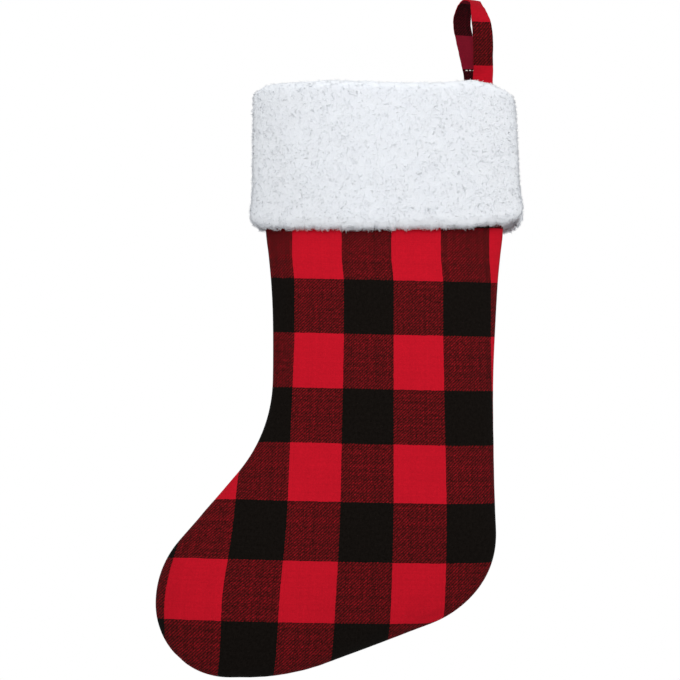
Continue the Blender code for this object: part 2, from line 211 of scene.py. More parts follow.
MOUTH_WIDTH = 0.190
MOUTH_BACK_X = 0.029
CALF_WIDTH = 0.169
CALF_FRONT_DROP = 0.174
CALF_BACK_DROP = 0.232
HEEL_BACK_X = 0.0207
HEEL_OVERHANG = 0.0031
HEEL_RISE = 0.060
TOE_FLAT = 0.103
TOE_HEIGHT = 0.085
ANKLE_HEIGHT = 0.188
MOUTH_TOP_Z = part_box("cuff_front")[1].z
SOLE_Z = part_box("shell_front")[0].z
TOE_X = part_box("shell_front")[0].x
HEM_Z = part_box("cuff_front")[0].z
CALF_Z = (HEM_Z + SOLE_Z + ANKLE_HEIGHT) / 2
SHELL_TOP_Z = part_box("shell_front")[1].z
HALF_DEPTH = {"cuff": 0.022, "calf": 0.0195, "heel": 0.0205, "foot": 0.0225}
TOE_ROUND_SHARE = 0.22
LEG_SPREAD = 0.0026           # the leg spreads a little where it leaves the cuff
LEG_SPREAD_REACH = 0.022
HEEL_SWELL = 0.0018           # and the filled heel stands out a little
HEEL_SWELL_AFTER = 0.018      # most a little above the middle of the heel
HEEL_SWELL_REACH = 0.036
TOUCH_GAP = 0.0003
SHELL_ROWS = 150
SHELL_COLUMNS = 58
SHELL_CLOTH = 0.0011
SEAM_PINCH = 0.0004           # the seam is drawn in by its thread
PUCKER = 0.00045              # small waves that the stitches draw into the cloth
BLOW_LIMIT = 0.0035           # most that a point may leave its cut shape outwards
SINK_LIMIT = 0.0008           # and inwards
SIDEWAYS_LIMIT = 0.0003       # and in the plane of the seam
SETTLE_FRAMES = 21
CORNER_DIP = 0.0100           # the mouth's two corners sag under the cuff
CORNER_COLUMNS = 4.0          # over about so many columns of a panel
CORNER_DEPTH = 0.045          # and down to this depth


def unit(vectors):
    """Vectors along the last axis, each divided by its length."""
    return vectors / np.maximum(np.linalg.norm(vectors, axis=-1, keepdims=True), 1e-12)


def run_length(path):
    """Distance along a path from its first point to each of its points."""
    return np.concatenate([[0.0], np.cumsum(np.linalg.norm(np.diff(path, axis=0), axis=1))])


def points_at(distance, length, path):
    """Points of a path at given distances, where length is the distance to each of its points."""
    return np.stack([np.interp(distance, length, column) for column in path.T], axis=-1)


def rounded_path(corners, steps=40):
    """Straight runs between corners (x, z, radius) joined by tangent arcs, as an array of points.

    Where two arcs would meet on one run, both give way in proportion.  Also returns the middle
    point of each arc.
    """
    places = np.array([corner[:2] for corner in corners])
    runs = np.diff(places, axis=0)
    lengths = np.linalg.norm(runs, axis=1)
    runs /= lengths[:, None]
    turns = np.arccos(np.clip((runs[:-1] * runs[1:]).sum(axis=1), -1.0, 1.0))
    radii = np.array([corner[2] for corner in corners[1:-1]])
    reach = np.concatenate([[0.0], radii * np.tan(turns / 2), [0.0]])
    room = np.minimum(lengths / np.maximum(reach[:-1] + reach[1:], 1e-9), 1.0)
    radii = radii * np.minimum(room[:-1], room[1:])
    bisector = unit(runs[1:] - runs[:-1])
    along = unit(runs[1:] + runs[:-1])
    centre = places[1:-1] + bisector * (radii / np.cos(turns / 2))[:, None]
    angle = turns[:, None] * np.linspace(-0.5, 0.5, steps + 1)[None, :]
    spokes = along[:, None, :] * np.sin(angle)[..., None] - bisector[:, None, :] * np.cos(angle)[..., None]
    arcs = centre[:, None, :] + radii[:, None, None] * spokes
    points = np.concatenate([places[:1], arcs.reshape(-1, 2), places[-1:]])
    return points, centre - bisector * radii[:, None]


calf_back_x = HEEL_BACK_X - HEEL_OVERHANG
calf_front_x = calf_back_x - CALF_WIDTH
outline_points, arc_middles = rounded_path([
    (MOUTH_BACK_X - MOUTH_WIDTH, MOUTH_TOP_Z, 0.0),
    (calf_front_x, MOUTH_TOP_Z - CALF_FRONT_DROP, 0.600),
    (calf_front_x, SOLE_Z + ANKLE_HEIGHT, 0.112),
    (TOE_X, SOLE_Z + TOE_HEIGHT, 0.075),
    (TOE_X, SOLE_Z, 0.058),
    (TOE_X + TOE_FLAT, SOLE_Z, 0.174),
    (HEEL_BACK_X, SOLE_Z + HEEL_RISE, 0.077),
    (calf_back_x, MOUTH_TOP_Z - CALF_BACK_DROP, 0.600),
    (MOUTH_BACK_X, MOUTH_TOP_Z, 0.0)])
raw_along = run_length(outline_points)
along_seam = np.arange(0.0, raw_along[-1], 0.001)
seam_points = points_at(along_seam, raw_along, outline_points)
half_way = len(seam_points) // 2
seam_side = np.where(np.arange(len(seam_points)) < half_way, -1.0, 1.0)
seam_points[:, 0] += seam_side * LEG_SPREAD * np.exp(-((seam_points[:, 1] - HEM_Z) / LEG_SPREAD_REACH) ** 2)
heel_gap = along_seam - along_seam[np.argmin(np.linalg.norm(seam_points - arc_middles[5], axis=1))]
seam_run = unit(np.gradient(seam_points, axis=0))
heel_swell = HEEL_SWELL * np.exp(-((heel_gap - HEEL_SWELL_AFTER) / HEEL_SWELL_REACH) ** 2)
seam_points += heel_swell[:, None] * np.stack([seam_run[:, 1], -seam_run[:, 0]], axis=1)
level = np.clip((seam_points[:, 1] - CALF_Z) / (HEM_Z - CALF_Z), 0.0, 1.0)
seam_inward = np.stack([-seam_run[:, 1], seam_run[:, 0] * (1.0 - level)], axis=1)


def seam_at(distance, inset=0.0):
    """Points (x, z) at distances along the seam line, moved in by inset."""
    return points_at(distance, along_seam, seam_points + inset * seam_inward)


def nearest_along(point):
    """Distance along the seam line of its point nearest to a given one."""
    return along_seam[np.argmin(np.linalg.norm(seam_points - point, axis=1))]


ankle_along, tip_along, heel_along = (nearest_along(arc_middles[i]) for i in (1, 3, 5))


def front_down(z):
    """Distance along the seam line to height z on the toe side of the leg."""
    upper = along_seam < ankle_along
    return np.interp(-z, -seam_points[upper, 1], along_seam[upper])


def back_down(z):
    """Distance along the seam line to height z on the heel side of the leg."""
    upper = along_seam > heel_along
    return np.interp(z, seam_points[upper, 1], along_seam[upper])


def smoothed(values, width):
    """Running mean over a window, with both ends carried on in a straight line."""
    pad = np.arange(1, width + 1)
    head = values[0] - (values[1] - values[0]) * pad[::-1]
    tail = values[-1] + (values[-1] - values[-2]) * pad
    window = np.ones(2 * width + 1) / (2 * width + 1)
    return np.convolve(np.concatenate([head, values, tail]), window, "valid")


def panel_rows(top_z, count):
    """Rows from the mouth to the tip: distances on both seams and the half depth of each row."""
    fine = np.linspace(0.0, 1.0, 801)
    station = [0.0, 0.20, 0.38, 0.66, 1.0]
    levels = (top_z, HEM_Z, CALF_Z)
    front = np.interp(fine, station, [*map(front_down, levels), ankle_along, tip_along])
    back = np.interp(fine, station, [*map(back_down, levels), heel_along, tip_along])
    depth = np.interp(fine, station, [HALF_DEPTH[n] for n in ("cuff", "cuff", "calf", "heel", "foot")])
    front, back, depth = (smoothed(values, 60) for values in (front, back, depth))
    travel = (front - front[0]) + (back[0] - back)
    even = np.linspace(0.0, travel[-1] * 0.985, count)
    front, back, depth, share = (np.interp(even, travel, values) for values in (front, back, depth, fine))
    closing = np.clip((share - share[-1] + TOE_ROUND_SHARE) / TOE_ROUND_SHARE, 0.0, 1.0)
    return front, back, depth * np.sqrt(1.0 - closing ** 2)


def even_turn(count, flatness=4.0):
    """Angles that part a half ellipse, flatness times as wide as deep, into equal lengths."""
    angle = np.linspace(0.0, math.pi, 2001)
    step = np.hypot(flatness * np.sin(angle), np.cos(angle))
    length = np.concatenate([[0.0], np.cumsum((step[1:] + step[:-1]) / 2)])
    return np.interp(np.linspace(0.0, length[-1], count), length, angle)


def panel_surface(top_z, rows, columns, inset, side):
    """Grid of a panel: each row is a half ellipse from the toe-side seam to the heel-side seam."""
    front, back, depth = panel_rows(top_z, rows)
    angle = even_turn(columns)
    share = (1.0 - np.cos(angle)) / 2
    start, end = seam_at(front, inset), seam_at(back, inset)
    flat = start[:, None, :] + (end - start)[:, None, :] * share[None, :, None]
    away = side * np.maximum(depth - inset, 0.0)[:, None] * np.sin(angle)[None, :]
    return np.stack([flat[..., 0], away, flat[..., 1]], axis=-1)


def check_coordinates(grid):
    """Checks across and down the cloth at each point of a panel's grid.

    The cloth is laid nearly flat by adding, along each row, part of the length that its bulge
    takes up; the checks grow a little towards the foot, and the grain leans to the toe there.
    """
    step = np.linalg.norm(np.diff(grid, axis=1), axis=2)
    flat_step = np.linalg.norm(np.diff(grid[..., ::2], axis=1), axis=2)
    extra = np.concatenate([np.zeros((len(grid), 1)), np.cumsum(step - flat_step, axis=1)], axis=1)
    extra -= extra[:, extra.shape[1] // 2][:, None]
    row_way = unit(grid[:, -1, ::2] - grid[:, 0, ::2])
    x = grid[..., 0] + BULGE_SHARE * extra * row_way[:, None, 0]
    z = grid[..., 2] + BULGE_SHARE * extra * row_way[:, None, 1]
    drop = CHECK_TOP_Z - z
    below = np.maximum(drop, 0.0)
    width = CHECK_WIDTH * (1.0 + CHECK_SPREAD * np.maximum(below - SPREAD_BELOW, 0.0))
    middle = CHECK_MIDDLE_X - CHECK_LEAN * np.maximum(below - LEAN_BELOW, 0.0) ** 1.5
    middle -= HEM_SHIFT * np.clip(-drop / HEM_SHIFT_RISE, 0.0, 1.0)
    across = (x - middle) / width
    across += TOE_STRETCH * across ** 2 * np.exp(-((below - TOE_STRETCH_BELOW) / TOE_STRETCH_REACH) ** 2)
    down = np.interp(drop - CHECK_TILT * (x - CHECK_MIDDLE_X), BAND_DEPTHS, BAND_NUMBERS)
    return np.stack([across, down], axis=-1)


CHECK_TOP_Z = MOUTH_TOP_Z - 0.1527     # an edge between two bands, level across the leg
CHECK_MIDDLE_X = -0.0583               # an upright edge near the middle of the leg
CHECK_WIDTH = 0.0379
BULGE_SHARE = 0.45                     # part of the bulge's extra length that is laid flat
CHECK_SPREAD = 0.55                    # growth of the checks for each metre
SPREAD_BELOW = 0.045
CHECK_LEAN = 0.095                     # lean of the grain to the toe side
LEAN_BELOW = 0.17
CHECK_TILT = 0.022                     # the bands fall a little towards the heel side
HEM_SHIFT = 0.0018                     # the checks stand a little nearer the toe side under the hem
HEM_SHIFT_RISE = 0.018
TOE_STRETCH = 0.0078                   # and open out towards the toe
TOE_STRETCH_BELOW = 0.238
TOE_STRETCH_REACH = 0.035
BAND_DEPTHS = (-0.1656, 0.0, 0.0414, 0.0832, 0.1250, 0.1695, 0.2151, 0.2623, 0.3114)
BAND_NUMBERS = (-4, 0, 1, 2, 3, 4, 5, 6, 7)     # a band's edge, counted down the leg, at each depth


def grid_faces(rows, columns, flip=False):
    """Quads of a grid that runs down by rows and across by columns."""
    corner = (np.arange(rows - 1)[:, None] * columns + np.arange(columns - 1)[None, :]).reshape(-1, 1)
    quad = corner + np.array([0, columns, columns + 1, 1])
    return quad[:, ::-1] if flip else quad


def mesh_piece(name, points, faces, material, smooth=True):
    """An object at the origin whose mesh has the given points and faces."""
    mesh = bpy.data.meshes.new(name)
    mesh.from_pydata(np.asarray(points, dtype=float).reshape(-1, 3).tolist(), [],
                     faces if isinstance(faces, list) else faces.tolist())
    if smooth:
        mesh.shade_smooth()
    if material is not None:
        mesh.materials.append(material)
    piece = bpy.data.objects.new(name, mesh)
    bpy.context.scene.collection.objects.link(piece)
    return piece


def set_uv(piece, name, coordinates):
    """Writes a UV map from one pair of coordinates for each point of the mesh."""
    mesh = piece.data
    corner = np.empty(len(mesh.loops), dtype=np.int32)
    mesh.loops.foreach_get("vertex_index", corner)
    layer = mesh.uv_layers.new(name=name)
    layer.data.foreach_set("uv", np.asarray(coordinates, dtype=np.float32).reshape(-1, 2)[corner].ravel())


def lattice_noise(points, seed=0.0):
    """Smooth noise from 0 to 1: hashed values on a unit lattice, blended inside each cell."""
    cell = np.floor(points)
    part = points - cell
    part = part * part * (3.0 - 2.0 * part)
    total = np.zeros(points.shape[:-1])
    for dx in (0, 1):
        for dy in (0, 1):
            for dz in (0, 1):
                at = cell + (dx, dy, dz)
                mixed_up = at @ np.array([127.1, 311.7, 74.7]) + seed * 19.19
                value = np.modf(np.abs(np.sin(mixed_up)) * 43758.5453)[0]
                weight = np.abs(1 - np.array((dx, dy, dz)) - part).prod(axis=-1)
                total += value * weight
    return total


def settle_bag(front, back):
    """Hangs the closed bag as cloth and returns both panels as they settle."""
    rows, columns = front.shape[:2]
    index_front = np.arange(rows * columns).reshape(rows, columns)
    inner = np.zeros((rows, columns), dtype=bool)
    inner[:-1, 1:-1] = True
    index_back = index_front.copy()
    index_back[inner] = rows * columns + np.arange(inner.sum())
    points = np.concatenate([front.reshape(-1, 3), back[inner]])
    quads_front = grid_faces(rows, columns)
    quads_back = index_back.ravel()[grid_faces(rows, columns, flip=True)]
    bag = mesh_piece("bag", points, np.concatenate([quads_front, quads_back]), None)
    held = bag.vertex_groups.new(name="held")
    held.add(index_front[:3].ravel().tolist() + np.unique(index_back[:3]).tolist(), 1.0, "REPLACE")
    seam = np.unique(np.concatenate([index_front[3:, 0], index_front[3:, -1], index_front[-1]]))
    held.add(seam.tolist(), 0.6, "REPLACE")
    drawn = bag.vertex_groups.new(name="drawn")
    drawn.add(seam.tolist(), 1.0, "REPLACE")
    cloth = bag.modifiers.new("cloth", "CLOTH")
    settings = cloth.settings
    settings.quality = 5
    settings.mass = 0.25
    settings.tension_stiffness = 20.0
    settings.compression_stiffness = 12.0
    settings.shear_stiffness = 8.0
    settings.bending_stiffness = 0.6
    settings.air_damping = 2.0
    settings.vertex_group_mass = "held"
    settings.pin_stiffness = 0.8
    settings.vertex_group_shrink = "drawn"
    settings.shrink_min = 0.0
    settings.shrink_max = 0.06
    settings.use_pressure = True
    settings.uniform_pressure_force = 1.2
    settings.effector_weights.gravity = 0.25
    cloth.collision_settings.use_collision = False
    scene = bpy.context.scene
    for step in range(1, SETTLE_FRAMES + 1):
        scene.frame_set(step)
    shown = bag.evaluated_get(bpy.context.evaluated_depsgraph_get()).to_mesh()
    settled = np.empty(len(points) * 3)
    shown.vertices.foreach_get("co", settled)
    settled = settled.reshape(-1, 3)
    scene.frame_set(1)
    bpy.data.objects.remove(bag, do_unlink=True)
    return settled[index_front], settled[index_back]


def limited(cut, settled, side):
    """Settled points, kept near the cut shape: some way outwards, and hardly inwards."""
    moved = settled - cut
    outward = moved[..., 1] * side
    moved[..., 1] = side * np.clip(outward, -SINK_LIMIT, BLOW_LIMIT)
    sideways = np.linalg.norm(moved[..., ::2], axis=-1, keepdims=True)
    moved[..., ::2] *= np.minimum(1.0, SIDEWAYS_LIMIT / np.maximum(sideways, 1e-9))
    return cut + moved


def draw_in_seam(grid, side):
    """Pulls the cloth in along the seam and waves it beside the stitches."""
    from_toe_side, from_heel_side = (
        np.cumsum(np.linalg.norm(np.diff(way, axis=1, prepend=way[:, :1]), axis=2), axis=1)
        for way in (grid, grid[:, ::-1]))
    from_edge = np.minimum(from_toe_side, from_heel_side[:, ::-1])
    way_in = unit(grid[:, -1:, :] - grid[:, :1, :])
    half = np.sign(np.linspace(-1.0, 1.0, grid.shape[1]))[None, :, None]
    pinch = SEAM_PINCH * np.exp(-(from_edge / 0.0022) ** 2)
    wave = lattice_noise(grid * 95.0, 3.0) - 0.5 + 0.6 * (lattice_noise(grid * 190.0, 5.0) - 0.5)
    ruck = 2.0 * PUCKER * wave * np.exp(-from_edge / 0.016) * np.clip(from_edge / 0.004, 0.0, 1.0)
    drawn = grid - way_in * half * pinch[..., None]
    drawn[..., 1] += side * (ruck + TOUCH_GAP / 2)
    soft = lattice_noise(grid * (14.0, 14.0, 9.0), 11.0) - 0.5
    drawn[..., 1] += side * 0.0016 * soft * np.clip(from_edge / 0.03, 0.0, 1.0)
    return drawn


def plaid_material(name, picks, brightness=1.0, grey=1.0):
    """Brushed 2/2 twill: bands of red and black warp crossed by bands of red and black weft.

    Thread numbers come from the cloth's own map.  A warp thread lies on top where its number
    plus the weft's, modulo four, is under two.  Where a red thread crosses a black one the nap
    of the black covers most of it.  A higher grey makes the red less pure.
    """
    material, tree, shader = new_material(
        name, Roughness=0.95, Sheen_Weight=0.015, Sheen_Roughness=0.5, Specular_IOR_Level=0.03)
    link = tree.links.new
    cloth = node(tree, "ShaderNodeUVMap", uv_map="cloth").outputs["UV"]
    wander = node(tree, "ShaderNodeTexNoise", Scale=9.0, Detail=2.0)
    link(cloth, wander.inputs["Vector"])
    offset = node(tree, "ShaderNodeVectorMath", operation="MULTIPLY_ADD")
    link(wander.outputs["Color"], offset.inputs[0])
    offset.inputs[1].default_value = (THREAD_WANDER, THREAD_WANDER, 0.0)
    link(cloth, offset.inputs[2])
    parts = node(tree, "ShaderNodeSeparateXYZ")
    link(offset.outputs[0], parts.inputs[0])
    warp = times(parts.outputs["X"], ENDS_PER_CHECK)
    weft = times(parts.outputs["Y"], picks)
    warp_number, weft_number = maths("FLOOR", warp), maths("FLOOR", weft)
    order = maths("FLOORED_MODULO", plus(warp_number, weft_number), 4.0)
    warp_on_top = maths("LESS_THAN", order, 1.5)

    def band(number, count):
        """1 in the red bands and 0 in the black ones."""
        return maths("LESS_THAN", maths("FRACT", maths("DIVIDE", plus(number, 0.5), 2.0 * count)), 0.5)

    warp_red = band(warp_number, ENDS_PER_CHECK)
    weft_red = minus(1.0, band(weft_number, picks))
    both_red = times(warp_red, weft_red)
    one_red = maths("ABSOLUTE", minus(warp_red, weft_red))
    red_on_top = minus(1.0, maths("ABSOLUTE", minus(warp_red, warp_on_top)))
    shown = plus(times(red_on_top, RED_OVER_BLACK - BLACK_OVER_RED), BLACK_OVER_RED)
    nap = noise(cloth, Scale=36.0, Detail=4.0, Roughness=0.65)
    uneven = []
    for number in (warp_number, weft_number):
        yarn = node(tree, "ShaderNodeTexWhiteNoise", noise_dimensions="1D")
        link(number, yarn.inputs["W"])
        uneven.append(times(yarn.outputs["Value"], 0.45))
    yarns = plus(*uneven)
    coarse = noise(cloth, Scale=17.0, Detail=2.0, Roughness=0.8)
    fuzz = minus(plus(times(nap, 0.5), times(coarse, 0.5)), 0.5)
    shown = times(shown, maths("MAXIMUM", plus(times(fuzz, FUZZ_COVER), 1.0), 0.0))
    shown = times(shown, plus(yarns, 0.55))
    red_share = plus(both_red, times(one_red, shown))
    cloudy = noise(cloth, Scale=2.2, Detail=5.0, Roughness=0.65)
    along_warp = node(tree, "ShaderNodeVectorMath", operation="MULTIPLY")
    link(cloth, along_warp.inputs[0])
    along_warp.inputs[1].default_value = (ENDS_PER_CHECK * 0.8, 3.0, 1.0)
    streaks = noise(along_warp.outputs[0], Scale=1.0, Detail=2.0)
    tone = plus(times(cloudy, 0.45), times(plus(streaks, nap), 0.25))
    tone = plus(times(minus(yarns, 0.45), 0.3), tone)
    tone = plus(times(fuzz, 1.5), tone)

    def dyed_and_shaded(colour, grey=1.0):
        """A dye colour at the cloth's brightness, with its green and blue raised by grey.  On the strap's
        inner face the low brightness is painted shade.
        """
        return colour[0] * brightness, colour[1] * brightness * grey, colour[2] * brightness * grey

    red = mixed(tone, dyed_and_shaded(RED_DEEP, grey), dyed_and_shaded(RED_BRIGHT, grey))
    black = mixed(plus(times(fuzz, 2.5), 0.5), dyed_and_shaded(BLACK_DEEP), dyed_and_shaded(BLACK_NAP))
    link(mixed(red_share, black, red), shader.inputs["Base Color"])

    def crown(thread):
        """Height across a round thread."""
        return maths("SINE", times(maths("FRACT", thread), math.pi))

    top = times(warp_on_top, crown(warp))
    under = times(minus(1.0, warp_on_top), crown(weft))
    bump(shader, plus(plus(top, under), times(nap, 1.2)), 0.35, 0.00022)
    return material


def thicken(panel, thickness):
    """Gives a panel of cloth its thickness, inwards from its outer face."""
    thick = panel.modifiers.new("cloth thickness", "SOLIDIFY")
    thick.thickness = thickness
    thick.offset = -1.0


def sewn(piece, slot, *nodes):
    """Moves a piece with the stocking and hides the nodes that it stands for; its slot is not used."""
    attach(piece, "stocking")
    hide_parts(*nodes)


ENDS_PER_CHECK = 64.0          # warp threads in one check
PICKS_PER_CHECK = 72.0         # and weft threads
THREAD_WANDER = 0.022          # of a check
RED_BRIGHT = (0.68, 0.0085, 0.023)
RED_DEEP = (0.46, 0.0060, 0.016)
BLACK_DEEP = (0.0032, 0.0022, 0.0015)
BLACK_NAP = (0.0104, 0.0078, 0.0062)
RED_OVER_BLACK = 0.29          # share of red seen where a red thread lies on a black one
BLACK_OVER_RED = 0.065         # and where the black one lies on the red
FUZZ_COVER = 4.8               # how unevenly the nap hides the red there
plaid = plaid_material("plaid_flannel", PICKS_PER_CHECK)

cut_front = panel_surface(SHELL_TOP_Z, SHELL_ROWS, SHELL_COLUMNS, 0.0, -1.0)
cut_back = panel_surface(SHELL_TOP_Z, SHELL_ROWS, SHELL_COLUMNS, 0.0, 1.0)
hung_front, hung_back = cut_front, cut_back
hung_front, hung_back = settle_bag(cut_front, cut_back)
for side, word, cut, hung in ((-1.0, "front", cut_front, hung_front), (1.0, "back", cut_back, hung_back)):
    shaped = draw_in_seam(limited(cut, hung, side), side)
    column = np.arange(SHELL_COLUMNS)
    from_corner = np.minimum(column, column[::-1])[None, :] / CORNER_COLUMNS
    near_top = np.clip(1.0 - (SHELL_TOP_Z - cut[..., 2]) / CORNER_DEPTH, 0.0, 1.0)
    shaped[..., 2] -= CORNER_DIP * np.exp(-from_corner ** 2) * near_top
    faces = grid_faces(SHELL_ROWS, SHELL_COLUMNS, flip=side > 0)
    panel = mesh_piece("shell_cloth_" + word, shaped, faces, plaid)
    set_uv(panel, "cloth", check_coordinates(cut))
    finer = panel.modifiers.new("finer", "SUBSURF")
    finer.levels = finer.render_levels = 1
    thicken(panel, SHELL_CLOTH)
    sewn(panel, "plaid_flannel", "shell_" + word)

# ---- Lining ------------------------------------------------------------------------------
# Two panels of thin plain cloth of the shell's shape, a little smaller, sewn into a second bag
# that hangs inside the first.  Its top edge is sewn under the plush facing of the mouth.

LINING_IN = 0.0031
LINING_CLOTH = 0.0006
LINING_ROWS = 120
LINING_COLUMNS = 44
LINING_TOP_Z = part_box("lining_front")[1].z
CREASE = 0.0011
STRAP_X = (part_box("loop_tail_front")[0].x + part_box("loop_tail_front")[1].x) / 2
GATHER_DEPTH = 0.0068         # how far the mouth is drawn in round the strap's ends
GATHER_REACH = 0.013
GATHER_FADE = 0.035
MOUTH_ROOM = 0.85             # most of its half depth that a layer may be drawn in by


def drawn_in(x, below):
    """How far the mouth's inner layers close in on the strap at x, fading with depth below it."""
    fade = (np.maximum(below, 0.0) / GATHER_FADE) ** 2
    return GATHER_DEPTH * np.exp(-((x - STRAP_X) / GATHER_REACH) ** 2 - fade)


def lining_material():
    """Plain weave: one thread over and one under, seen as a fine chequer with slubs."""
    material, tree, shader = new_material(
        "lining_cloth", Roughness=0.85, Sheen_Weight=0.1, Specular_IOR_Level=0.2)
    cloth = node(tree, "ShaderNodeUVMap", uv_map="cloth").outputs["UV"]
    chequer = node(tree, "ShaderNodeTexChecker", Scale=95.0)
    tree.links.new(cloth, chequer.inputs["Vector"])
    threads = chequer.outputs["Fac"]
    slub = noise(cloth, Scale=6.0, Detail=6.0, Roughness=0.7)
    ground = mixed(slub, LINING_DEEP, LINING_PALE)
    tree.links.new(mixed(times(threads, 0.35), ground, LINING_DEEP), shader.inputs["Base Color"])
    bump(shader, plus(threads, slub), 0.3, 0.00015)
    return material


LINING_PALE = (0.68, 0.64, 0.56)
LINING_DEEP = (0.52, 0.48, 0.41)
lining = lining_material()
for side, word in ((-1.0, "front"), (1.0, "back")):
    cut = panel_surface(LINING_TOP_Z, LINING_ROWS, LINING_COLUMNS, LINING_IN, side)
    crease = lattice_noise(cut * (40.0, 40.0, 22.0), 21.0) + 0.5 * lattice_noise(cut * 90.0, 23.0) - 0.75
    hold = np.sin(np.linspace(0.0, math.pi, LINING_COLUMNS))[None, :] * np.ones((LINING_ROWS, 1))
    hung = cut.copy()
    hung[..., 1] += side * (CREASE * crease * hold + TOUCH_GAP / 2)
    room = np.abs(cut[..., 1]) * MOUTH_ROOM
    hung[..., 1] -= side * np.minimum(drawn_in(cut[..., 0], LINING_TOP_Z - cut[..., 2]), room)
    faces = grid_faces(LINING_ROWS, LINING_COLUMNS, flip=side > 0)
    panel = mesh_piece("lining_cloth_" + word, hung, faces, lining)
    set_uv(panel, "cloth", check_coordinates(cut))
    thicken(panel, LINING_CLOTH)
    sewn(panel, "lining_cloth", "lining_" + word)

# ---- Plush cuff --------------------------------------------------------------------------
# A deep band of short curly white plush, folded over the mouth: pile outwards on the outside,
# over the fold and down inside as a facing.  It is two halves sewn together at the sides, and
# it flares a little towards its hem, where the pile hides the cut edge.

CUFF_HALF_DEPTH = 0.022
CUFF_LEG_GAP = 0.0016
PLUSH = 0.0050
PILE_SINK = 0.0013            # knitted ground of the pile, below the tips
FACING = 0.0025
FACING_IN = 0.0031
CUFF_FOLD = 0.0062
CUFF_FLARE_X = 0.0064
CUFF_FLARE_Y = 0.0016
HEEL_SIDE_FLARE = 0.0034      # more flare at the hem on the heel side
FOLD_Z = MOUTH_TOP_Z - CUFF_FOLD
FACING_Z = LINING_TOP_Z + TOUCH_GAP
WALL_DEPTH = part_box("cuff_back")[1].y
LIP_RISE = 0.0042             # rounding of the hem
PLUSH_STEP = 0.00115
RING_COLUMNS = 190
CLUMP = 0.0006                # height of the pile's soft clumps
SMOOTH_COLUMNS = 1.5          # columns beside a side seam that have none
HEM_ROLL = 0.0030             # how far the hem rolls in over its last stretch
HEM_ROLL_RISE = 0.010
WALL_EASE = 0.0016            # how softly the back flattens against the wall
CUFF_COLUMN_FLATNESS = 4.3    # width over depth of the cuff's ring, for spacing its columns
# Rises of the fold and of the hem, at shares of the way from the toe side to the heel side.
TOP_WAVE = ([0.0, 0.015, 0.04, 0.08, 0.30, 0.58, 0.72, 0.86, 0.93, 0.98, 1.0],
            [-0.0058, -0.0036, -0.0014, -0.0006, 0.0012,
             -0.0009, -0.0006, 0.0016, -0.0012, -0.0052, -0.0085])
HEM_WAVE = {"front": ([0.0, 0.015, 0.04, 0.10, 0.45, 0.75, 0.88, 0.95, 0.98, 1.0],
                      [0.0070, 0.0042, 0.0026, 0.0018, 0.0012, 0.0022, 0.0044, 0.0058, 0.0085, 0.0125]),
            "back": ([0.0, 0.02, 0.05, 0.90, 0.95, 0.98, 1.0],
                     [0.0046, 0.0018, 0.0004, -0.0008, -0.0010, 0.0008, 0.0050])}


def smooth_curve(share, stops, values):
    """Values between stops, joined without corners."""
    fine = np.linspace(0.0, 1.0, 401)
    return np.interp(share, fine, smoothed(np.interp(fine, stops, values), 5))


def cuff_flare(z):
    """How far the cuff has spread at height z: 0 at the fold, 1 at the hem."""
    return np.clip((FOLD_Z - z) / (FOLD_Z - HEM_Z), 0.0, 1.0) ** 0.8


def spaced(path, step):
    """A path (rows of z and inset) parted into equal steps."""
    length = run_length(path)
    even = np.linspace(0.0, length[-1], max(2, int(round(length[-1] / step)) + 1))
    return points_at(even, length, path)


def cuff_section():
    """Pile side and back side of the folded band, as rows of (height, inset from the seam line).

    The pile side runs round the hem, up the outside, over the fold and down inside to the end
    of the facing.  The back side returns, with a tight fold.
    """
    out_in, in_in = -CUFF_LEG_GAP - PLUSH + PILE_SINK, FACING_IN + FACING - PILE_SINK / 2
    turn = np.linspace(0.0, math.pi, 25)
    middle, half = (out_in - CUFF_LEG_GAP) / 2, (-CUFF_LEG_GAP - out_in) / 2
    lip = np.stack([HEM_Z + LIP_RISE * (1.0 - np.sin(turn)), middle + half * np.cos(turn)], axis=1)
    over = np.stack([FOLD_Z + (CUFF_FOLD - PILE_SINK) * np.sin(turn),
                     (out_in + in_in) / 2 - (in_in - out_in) / 2 * np.cos(turn)], axis=1)
    pile = spaced(np.concatenate([lip, over, [[FACING_Z, in_in]]]), PLUSH_STEP)
    tight_inset = (FACING_IN - CUFF_LEG_GAP) / 2 + (FACING_IN + CUFF_LEG_GAP) / 2 * np.cos(turn)
    tight = np.stack([FOLD_Z + 3 * TOUCH_GAP * np.sin(turn), tight_inset], axis=1)
    back = spaced(np.concatenate([[[FACING_Z, FACING_IN]], tight, lip[:1]]), 0.004)
    return pile, back[:-1]


